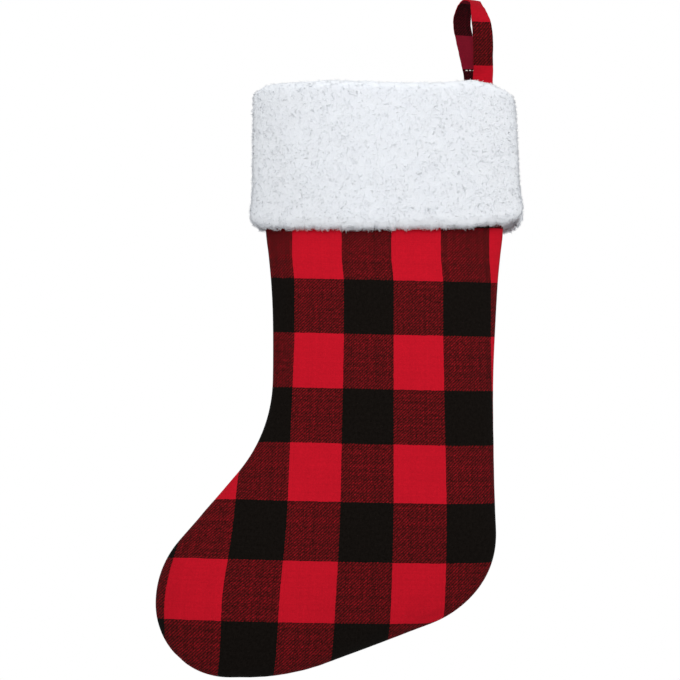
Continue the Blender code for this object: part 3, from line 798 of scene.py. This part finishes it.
def carry_round(section, word, side):
    """The section carried from the toe-side seam to the heel-side seam on half ellipses.

    The heights between fold and hem are stretched by the waves of the top and the hem, and the
    facing is drawn in round the ends of the strap.
    """
    z, inset = section.T
    angle = even_turn(RING_COLUMNS, CUFF_COLUMN_FLATNESS)[:, None]
    share = (1.0 - np.cos(angle)) / 2
    flare = np.where(inset < 0.0, cuff_flare(z), 0.0)
    rolled = HEM_ROLL * np.clip(1.0 - (z - HEM_Z) / HEM_ROLL_RISE, 0.0, 1.0) ** 2 * (inset < -CUFF_LEG_GAP)
    inset = inset + rolled
    leg_z = np.minimum(z, FOLD_Z)
    start = seam_at(front_down(leg_z))[..., 0] + inset - CUFF_FLARE_X * flare
    end = seam_at(back_down(leg_z))[..., 0] - inset + (CUFF_FLARE_X + HEEL_SIDE_FLARE) * flare
    x = start + (end - start) * share
    away = (CUFF_HALF_DEPTH - inset + CUFF_FLARE_Y * flare) * np.sin(angle)
    inside = np.clip(inset / FACING_IN, 0.0, 1.0)
    away = np.maximum(away - inside * drawn_in(x, 0.0), 0.0005 * inside) + TOUCH_GAP / 2
    if side > 0:
        away = away - WALL_EASE * np.log1p(np.exp((away - WALL_DEPTH + PILE_SINK) / WALL_EASE))
    along_height = np.clip((z - HEM_Z) / (FOLD_Z - HEM_Z), 0.0, 1.0)
    along_hem = np.stack(np.broadcast_arrays(x * 300.0, side, 0.0), axis=-1)
    ragged = HEM_RAGGED * (lattice_noise(along_hem, 41.0) - 0.5)
    lift = (smooth_curve(share, *TOP_WAVE) * along_height ** 2
            + smooth_curve(share, *HEM_WAVE[word]) * (1.0 - along_height) ** 2 * (inset < 0.001)
            + ragged * (1.0 - along_height) ** 12)
    return np.stack([x, side * away, z + lift], axis=-1)


def tube_faces(stops, around, points):
    """Quads of a closed section carried along stops, with both ends closed, facing outwards.

    The signed volume, summed over the quads as pairs of triangles, tells which way they face.
    """
    first_of_ring, place = np.arange(stops - 1)[:, None] * around, np.arange(around)[None, :]
    corner = (first_of_ring + place).reshape(-1, 1)
    beside = (first_of_ring + (place + 1) % around).reshape(-1, 1)
    quads = np.concatenate([corner, beside, beside + around, corner + around], axis=1)
    a, b, c, d = (points.reshape(-1, 3)[quads[:, i]] for i in range(4))
    volume = (a * np.cross(b, c)).sum() + (a * np.cross(c, d)).sum()
    first = list(range(around))[::-1]
    last = list(range((stops - 1) * around, stops * around))
    faces = quads.tolist() + [first, last]
    return faces if volume > 0 else [face[::-1] for face in faces]


def grid_normals(grid, side):
    """Outward unit normals of a grid that runs round by rows and along the section by columns."""
    return unit(np.cross(np.gradient(grid, axis=0), np.gradient(grid, axis=1))) * (-side)


def pile_material(name, **values):
    """White pile that scatters light inside; also returns its tree, shader and coordinates."""
    material, tree, shader = new_material(
        name, Roughness=1.0, Sheen_Weight=0.35, Sheen_Roughness=0.7, Specular_IOR_Level=0.1,
        Subsurface_Weight=0.9, Subsurface_Scale=0.0055, Subsurface_Radius=(1.0, 1.0, 1.0), **values)
    return material, tree, shader, tree.nodes.new("ShaderNodeTexCoord").outputs["Object"]


def plush_material():
    """The ground of the pile: its shade wanders a little, over fine curls."""
    material, tree, shader, place = pile_material("white_plush")
    cloudy = noise(place, Scale=45.0, Detail=5.0, Roughness=0.6)
    tree.links.new(mixed(cloudy, PLUSH_SHADE, PLUSH_WHITE), shader.inputs["Base Color"])
    bump(shader, noise(place, Scale=900.0, Detail=3.0, Roughness=0.7), 0.5, 0.0006)
    return material


def curl_material():
    """The pile's curled locks: the same white, with fine fibres along them."""
    material, tree, shader, place = pile_material("white_curls", Base_Color=(*PLUSH_WHITE, 1.0))
    bump(shader, noise(place, Scale=2600.0, Detail=2.0), 0.4, 0.0002)
    return material


def curled_locks(roots, outward, rng, length, thickness, droop):
    """Locks that leave their roots outwards and curl round a random axis, each a closed tube.

    Each ring moves on by an even step, and the way it goes is turned about the lock's own axis.
    """
    count = len(roots)
    way = 0.55 * outward + 0.75 * rng.normal(size=(count, 3)) + droop * np.array([0.0, 0.0, -1.0])
    way = unit(way)
    spin = unit(np.cross(way, rng.normal(size=(count, 3))))
    bend = rng.uniform(0.35, 1.05, size=(count, 1))
    size = length * rng.uniform(0.75, 1.25, size=(count, 1))
    stout = thickness * rng.uniform(0.75, 1.25, size=(count, 1))
    place = roots - outward * LOCK_ROOT
    rings = []
    for share in (1.0, 0.95, 0.75, 0.45):
        second = np.cross(way, spin)
        for corner in range(LOCK_SIDES):
            turn = 2 * math.pi * corner / LOCK_SIDES
            rings.append(place + stout * share * (spin * math.cos(turn) + second * math.sin(turn)))
        place = place + way * size / 4
        way = way * np.cos(bend) + np.cross(spin, way) * np.sin(bend)
    points = np.stack(rings + [place], axis=1)
    each = points.shape[1]
    faces = []
    for ring in range(3):
        for corner in range(LOCK_SIDES):
            beside = (corner + 1) % LOCK_SIDES
            low, high = ring * LOCK_SIDES, (ring + 1) * LOCK_SIDES
            faces.append([low + corner, low + beside, high + beside])
            faces.append([low + corner, high + beside, high + corner])
    top = 3 * LOCK_SIDES
    faces += [[top + corner, top + (corner + 1) % LOCK_SIDES, each - 1] for corner in range(LOCK_SIDES)]
    faces.append(list(range(LOCK_SIDES))[::-1])
    all_faces = (np.arange(count)[:, None, None] * each + np.array(faces)[None]).reshape(-1, 3)
    return points.reshape(-1, 3), all_faces


PLUSH_WHITE = (0.870, 0.895, 0.935)
PLUSH_SHADE = (0.835, 0.860, 0.905)
LOCK_SIDES = 3
LOCK_ROOT = 0.0003            # how deep a lock starts in the ground of the pile
LOCKS = 7800
HEM_LOCKS = 1200
SIDE_LOCKS = 900              # more along both side seams, which the pile hides
LOCK_SHAPE = (0.0024, 0.00028, 0.25)        # length, thickness and droop
HEM_LOCK_MORE = (0.0008, 0.00008, 0.35)     # and what the hem's locks have more of each
HEM_RAGGED = 0.0016           # unevenness of the hem between clumps of pile
plush, curls = plush_material(), curl_material()
pile_path, back_path = cuff_section()
for side, word in ((-1.0, "front"), (1.0, "back")):
    rng = np.random.default_rng(7 if side < 0 else 8)
    ground = carry_round(pile_path, word, side)
    behind = carry_round(back_path, word, side)
    normals = grid_normals(ground, side)
    clumps = (lattice_noise(ground * 260.0, 31.0) + 0.6 * lattice_noise(ground * 560.0, 33.0)
              + 0.5 * lattice_noise(ground * 60.0, 35.0) - 1.05)
    column = np.arange(RING_COLUMNS)
    edge_share = np.minimum(column, column[::-1])[:, None] / SMOOTH_COLUMNS
    tufted = ground + normals * (CLUMP * clumps * np.clip(edge_share, 0.0, 1.0))[..., None]
    tufted[..., 1] = side * np.maximum(side * tufted[..., 1], TOUCH_GAP / 2)
    loops = np.concatenate([tufted, behind], axis=1)
    columns, around = loops.shape[:2]
    cuff = mesh_piece("cuff_plush_" + word, loops, tube_faces(columns, around, loops), plush)
    sewn(cuff, "white_plush", "cuff_" + word)
    near_side = rng.uniform(0.0, 3.0, SIDE_LOCKS)
    near_side = np.where(rng.random(SIDE_LOCKS) < 0.5, near_side, RING_COLUMNS - 1.001 - near_side)
    ring_at = np.concatenate([rng.uniform(0.0, RING_COLUMNS - 1.001, LOCKS + HEM_LOCKS), near_side])
    path_at = np.concatenate([rng.uniform(2.0, len(pile_path) - 1.001, LOCKS),
                              rng.uniform(1.0, 7.0, HEM_LOCKS),
                              rng.uniform(2.0, len(pile_path) * 0.80, SIDE_LOCKS)])
    low_ring, low_path = np.floor(ring_at).astype(int), np.floor(path_at).astype(int)
    part_ring, part_path = (ring_at - low_ring)[:, None], (path_at - low_path)[:, None]

    def between(values):
        """Values of the grid between its points, for every lock."""
        near, far = (values[ring, low_path] * (1 - part_path) + values[ring, low_path + 1] * part_path
                     for ring in (low_ring, low_ring + 1))
        return near * (1 - part_ring) + far * part_ring

    order = np.arange(len(ring_at))
    at_hem = ((order >= LOCKS) & (order < LOCKS + HEM_LOCKS))[:, None]
    lock_points, lock_faces = curled_locks(
        between(tufted), between(normals), rng,
        *(value + more * at_hem for value, more in zip(LOCK_SHAPE, HEM_LOCK_MORE)))
    locks = mesh_piece("cuff_pile_" + word, lock_points, lock_faces, curls)
    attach(locks, "stocking")

# ---- Hanging strap -----------------------------------------------------------------------
# One strip of the same twill, its edges folded in and pressed flat, bent over into a loop.  It
# stands above the mouth, and its two ends lie face to face down inside, sewn to the facing.

STRAP_CLOTH = 0.0016
STRAP_WIDTH = 0.0155
LOOP_RADIUS = 0.0145
LOOP_TURN = math.radians(29.0)
LOOP_BASE_TURN = math.radians(4.0)
LOOP_LEAN = 0.0064
LOOP_SPLAY = 0.0043
BEND_Z = MOUTH_TOP_Z + 0.005
BEND_ROOM = 0.0022
TAIL_END_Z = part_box("loop_tail_front")[0].z
STRAP_STOPS = 180
SECTION_STOPS = 20
STRAP_SHARE = STRAP_WIDTH / 2 / CHECK_WIDTH
STRAP_BRIGHTNESS = 0.80       # the strap's cloth is a little duller than the shell's
INNER_FACE_PAINTED_SHADE = 0.33     # and its inner face is painted shade: a copy of the plaid at a third of its brightness
INNER_FACE_SHADE_GREY = 2.8            # with the red of the painted shade made greyer
STRAP_PICKS = 52              # the strap is cut where the bands are shorter, from the same threads


def strap_line():
    """Centre line, width direction and distance from the crown of the strap, tail to tail.

    In its own plane the loop is two tangents from the base to an arc.  It is turned to the
    view, leans to the heel side going down, and its two sides splay.  Near the crown both sides
    close up again, and the front side twists to face forwards.
    """
    radius = LOOP_RADIUS + STRAP_CLOTH / 2
    base_z, base = BEND_Z + BEND_ROOM, (STRAP_CLOTH + 2 * TOUCH_GAP) / 2
    drop = -LOOP_RADIUS - base_z
    tilt = math.asin(radius / math.hypot(base, drop)) - math.atan2(base, drop)
    arc = np.linspace(-tilt, math.pi + tilt, 80)
    crown = np.stack([radius * np.cos(arc), -LOOP_RADIUS + radius * np.sin(arc)], axis=1)
    line = np.concatenate([[[base, TAIL_END_Z], [base, base_z - 2 * BEND_ROOM], [base, base_z]], crown,
                           [[-base, base_z], [-base, base_z - 2 * BEND_ROOM], [-base, TAIL_END_Z]]])[::-1]
    length = run_length(line)
    even = np.linspace(0.0, length[-1], STRAP_STOPS)
    offset, z = (smoothed(np.interp(even, length, line[:, i]), 2) for i in (0, 1))
    down = np.clip(z / base_z, 0.0, 1.0)
    turn = LOOP_TURN + (LOOP_BASE_TURN - LOOP_TURN) * down ** 3
    turn = turn * np.clip(1.0 - (base_z - z) / 0.02, 0.0, 1.0)
    x = LOOP_LEAN * down ** 1.3 - offset * np.sin(turn) - np.tanh(offset / base) * LOOP_SPLAY * down
    front, back = np.clip(-offset / 0.006, 0.0, 1.0), np.clip(offset / 0.010, 0.0, 1.0)
    x += back * BACK_CLOSES * np.exp(-(z / 0.028) ** 2)
    depth = np.maximum(-z, 0.0)
    front_x = FRONT_X - FRONT_CLOSES * np.exp(-(depth / 0.0155) ** 1.3)
    upper = front * np.clip((0.047 - depth) / 0.014, 0.0, 1.0)
    x = x * (1.0 - upper) + front_x * upper
    front_turn = LOOP_BASE_TURN + (CROWN_TURN - LOOP_BASE_TURN) * np.exp(-(depth / 0.0135) ** 2)
    facing = turn + (front_turn - turn) * upper
    facing = smoothed(facing + (1.0 - front) * CROWN_EXTRA * np.exp(-(depth / 0.006) ** 2), 5)
    centre = np.stack([smoothed(x, 3), offset * np.cos(turn), z], axis=1)
    width = np.stack([np.cos(facing), np.sin(facing), np.zeros_like(turn)], axis=1)
    return centre, width, run_length(centre)


def strap_section(centre, width, reach):
    """The flat section with round folds carried along the line, as a grid of stops by corners.

    The section is a superellipse: its thickness falls to nothing only at the folded edges.  A
    shallow hollow runs beside each fold, where the stitches press it, and both faces ripple.
    """
    along = np.gradient(centre, axis=0)
    outward = unit(np.cross(width, along))
    angle = np.linspace(0.0, 2 * math.pi, SECTION_STOPS, endpoint=False) + math.pi / SECTION_STOPS
    flat = np.sign(np.cos(angle)) * np.abs(np.cos(angle)) ** 0.55
    thick = np.sign(np.sin(angle)) * np.abs(np.sin(angle)) ** 0.35
    hollow = 1.0 - 0.20 * np.exp(-((np.abs(flat) - 0.78) / 0.10) ** 2)
    ripple = 0.00010 * np.sin(reach * 1400.0) + 0.00018 * np.sin(reach * 610.0 + 1.0)
    rise = (thick * hollow)[None, :] * STRAP_CLOTH * 0.46 + ripple[:, None] * flat[None, :]
    points = (centre[:, None, :] + width[:, None, :] * (flat * STRAP_WIDTH / 2)[None, :, None]
              + outward[:, None, :] * rise[..., None])
    return points, flat, thick > 0


def band_edges(reach, z, side, heights):
    """Check number down the strap: 1 at the first of two heights on one side, 2 at the second."""
    half = side * (np.arange(len(reach)) - len(reach) / 2) > 0
    order = np.argsort(-z[half])
    first, second = np.interp([-height for height in heights], -z[half][order], reach[half][order])
    return 1.0 + (reach - first) / (second - first)


FRONT_X = 0.0102              # middle of the front side, below the crown
FRONT_CLOSES, BACK_CLOSES = 0.0064, 0.0019
CROWN_TURN = math.radians(58.0)       # the front side turns edge-on as it nears the crown
CROWN_EXTRA = math.radians(14.0)
OUTER_EDGES = (-0.0170, -0.0493)      # heights where the outer face's bands change, front side
INNER_EDGES = (-0.0255, -0.0520)      # and the inner face's, back side
centre, width, reach = strap_line()
strap_points, flat, outer = strap_section(centre, width, reach)
outer_down = band_edges(reach, centre[:, 2], -1.0, OUTER_EDGES) - 1.0
inner_down = band_edges(reach, centre[:, 2], 1.0, INNER_EDGES)
down = np.where(outer[None, :], outer_down[:, None], inner_down[:, None])
across = 0.5 + STRAP_SHARE * flat[None, :] + np.zeros_like(down)
strap = mesh_piece("hanging_strap", strap_points, tube_faces(STRAP_STOPS, SECTION_STOPS, strap_points),
                   plaid_material("plaid_strap", STRAP_PICKS, STRAP_BRIGHTNESS))
# the strap's inner faces get a darker, greyer copy of the plaid: painted shade inside the loop
strap.data.materials.append(plaid_material("plaid_strap_painted_shade", STRAP_PICKS, INNER_FACE_PAINTED_SHADE, INNER_FACE_SHADE_GREY))
inner_side = np.concatenate([np.tile(~(outer | np.roll(outer, -1)), STRAP_STOPS - 1), [False, False]])
strap.data.polygons.foreach_set("material_index", inner_side.astype(np.int32))
set_uv(strap, "cloth", np.stack([across, down], axis=-1))
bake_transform(strap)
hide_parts("hanging_loop", "loop_tail_front", "loop_tail_back")

# ---- Threads -----------------------------------------------------------------------------
# Spun two-ply thread: black along the shell, lining, mouth and side seams of the cuff, white
# where the strap is tacked.  Each is one running stitch that passes from side to side.

THREAD_SIDES = 6


def thread_material(name, dark, pale):
    """Two plies wound round each other, as slanting stripes on the thread's own map."""
    material, tree, shader = new_material(name, Roughness=0.6, Sheen_Weight=0.1, Specular_IOR_Level=0.3)
    thread_map = node(tree, "ShaderNodeUVMap", uv_map="thread")
    plies = node(tree, "ShaderNodeTexWave", wave_type="BANDS", bands_direction="DIAGONAL",
                 Scale=0.6, Distortion=0.6)
    tree.links.new(thread_map.outputs["UV"], plies.inputs["Vector"])
    tree.links.new(mixed(plies.outputs["Fac"], dark, pale), shader.inputs["Base Color"])
    bump(shader, plies.outputs["Fac"], 0.6, 0.00012)
    return material


def thread(name, path, side, radius, material, body, slot, node_name):
    """A round thread along a path; side is a direction that the path never runs along."""
    along = unit(np.gradient(path, axis=0))
    first = unit(np.cross(along, side))
    second = np.cross(along, first)
    angle = np.linspace(0.0, 2 * math.pi, THREAD_SIDES, endpoint=False)
    points = path[:, None, :] + radius * (first[:, None, :] * np.cos(angle)[None, :, None]
                                          + second[:, None, :] * np.sin(angle)[None, :, None])
    piece = mesh_piece(name, points, tube_faces(len(path), THREAD_SIDES, points), material)
    ply_map = np.broadcast_arrays(run_length(path)[:, None] / radius, angle[None, :])
    set_uv(piece, "thread", np.stack(ply_map, axis=-1))
    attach(piece, body)
    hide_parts(*node_name)


def running_stitch(line, across, pitch, depth):
    """A line resampled, passing to either side of itself by depth, once in each pitch."""
    length = run_length(line)
    count = int(round(length[-1] / pitch)) * STEPS_PER_STITCH + 1
    even = np.linspace(0.0, length[-1], count)
    path = points_at(even, length, line)
    across = points_at(even, length, np.broadcast_to(across, line.shape))
    swing = np.tanh(2.2 * np.sin(np.arange(count) * 2 * math.pi / STEPS_PER_STITCH)) / math.tanh(2.2)
    return path + across * (swing * depth)[:, None]


STEPS_PER_STITCH = 10
SEAM_THREAD_R = 0.00030
FINE_THREAD_R = 0.00026
SEAM_PITCH = 0.0030
SHELL_SEAM_IN = 0.0018                # how far inside the edge the bag's seams run
LINING_SEAM_IN = 0.0008
SIDE_SEAM_TOP = 0.016                 # the cuff's side seams stop short of its fold and its hem
SIDE_SEAM_END = 0.021
TACK_Z = -0.0530                      # height of the tack across the strap's back side
UP, ACROSS, FORWARD = np.eye(3)[[2, 0, 1]]
black_thread = thread_material("black_thread", (0.006, 0.006, 0.006), (0.02, 0.018, 0.018))
white_thread = thread_material("white_thread", (0.62, 0.58, 0.50), (0.95, 0.91, 0.82))
bags = (("shell", SHELL_SEAM_IN, SHELL_TOP_Z), ("lining", LINING_IN + LINING_SEAM_IN, LINING_TOP_Z))
for word, inset, top_z in bags:
    distances = np.arange(front_down(top_z) + CORNER_DIP, back_down(top_z) - CORNER_DIP, 0.002)
    x, z = seam_at(distances, inset).T
    line = np.stack([x, np.zeros_like(x), z], axis=1)
    stitched = running_stitch(line, FORWARD, SEAM_PITCH, 0.0006)
    thread(word + "_seam_stitches", stitched, FORWARD + 0.2 * UP,
           SEAM_THREAD_R, black_thread, "stocking", "black_thread", (word + "_seam_thread",))
x_front, x_back = (seam_at(way(LINING_TOP_Z), 0.0)[0] for way in (front_down, back_down))
angle = np.linspace(0.0, 2 * math.pi, 400)
inset = LINING_IN + LINING_CLOTH / 2
x = x_front + inset + (x_back - x_front - 2 * inset) * (1 - np.cos(angle)) / 2
y = -(CUFF_HALF_DEPTH - inset) * np.sin(angle)
y -= np.sign(y) * np.minimum(drawn_in(x, 0.0), np.abs(y) * MOUTH_ROOM)
mouth = np.stack([x, y, np.full_like(x, LINING_TOP_Z - 0.0022)], axis=1)
outward = np.stack([np.cos(angle) * -0.2, -np.sin(angle), np.zeros_like(angle)], axis=1)
thread("mouth_stitches", running_stitch(mouth, outward, SEAM_PITCH, 0.0009), UP,
       FINE_THREAD_R, black_thread, "stocking", "black_thread", ("mouth_seam_thread",))
z = np.linspace(FOLD_Z - SIDE_SEAM_TOP, HEM_Z + SIDE_SEAM_END, 60)
for name, way, sign, extra in (("toe_side", front_down, 1.0, 0.0),
                               ("heel_side", back_down, -1.0, HEEL_SIDE_FLARE)):
    x = seam_at(way(z))[..., 0] - sign * (CUFF_LEG_GAP + (CUFF_FLARE_X + extra) * cuff_flare(z) - 0.0004)
    line = np.stack([x, np.zeros_like(x), z], axis=1)
    thread("cuff_side_stitches_" + name, running_stitch(line, FORWARD, SEAM_PITCH, 0.0008), ACROSS,
           SEAM_THREAD_R, black_thread, "stocking", "black_thread", ("cuff_seam_thread_" + name,))
stop = int(np.argmin(np.abs(centre[STRAP_STOPS // 2:, 2] - TACK_Z))) + STRAP_STOPS // 2
tack = centre[stop] + width[stop] * np.linspace(-0.44, 0.44, 40)[:, None] * STRAP_WIDTH
normal = unit(np.cross(width[stop], centre[stop + 1] - centre[stop]))
thread("strap_tack_stitches", running_stitch(tack, normal, 0.0026, STRAP_CLOTH / 2 + 0.0005), UP,
       0.00042, white_thread, "loop", "white_thread", ("loop_bar_tack",))
end_stop = int(np.argmin(np.abs(centre[:STRAP_STOPS // 2, 2] - FACING_Z + 0.004)))
zigzag = [np.linspace(-0.42, 0.42, 60) * STRAP_WIDTH, np.zeros(60), 0.0012 * np.sin(np.arange(60) * 0.8)]
anchor = centre[end_stop] * (1.0, 0.0, 1.0) + np.stack(zigzag, axis=1)
thread("strap_anchor_stitches", running_stitch(anchor, FORWARD, 0.0027, 0.0026), UP,
       FINE_THREAD_R, white_thread, "stocking", "white_thread", ("loop_anchor_thread",))
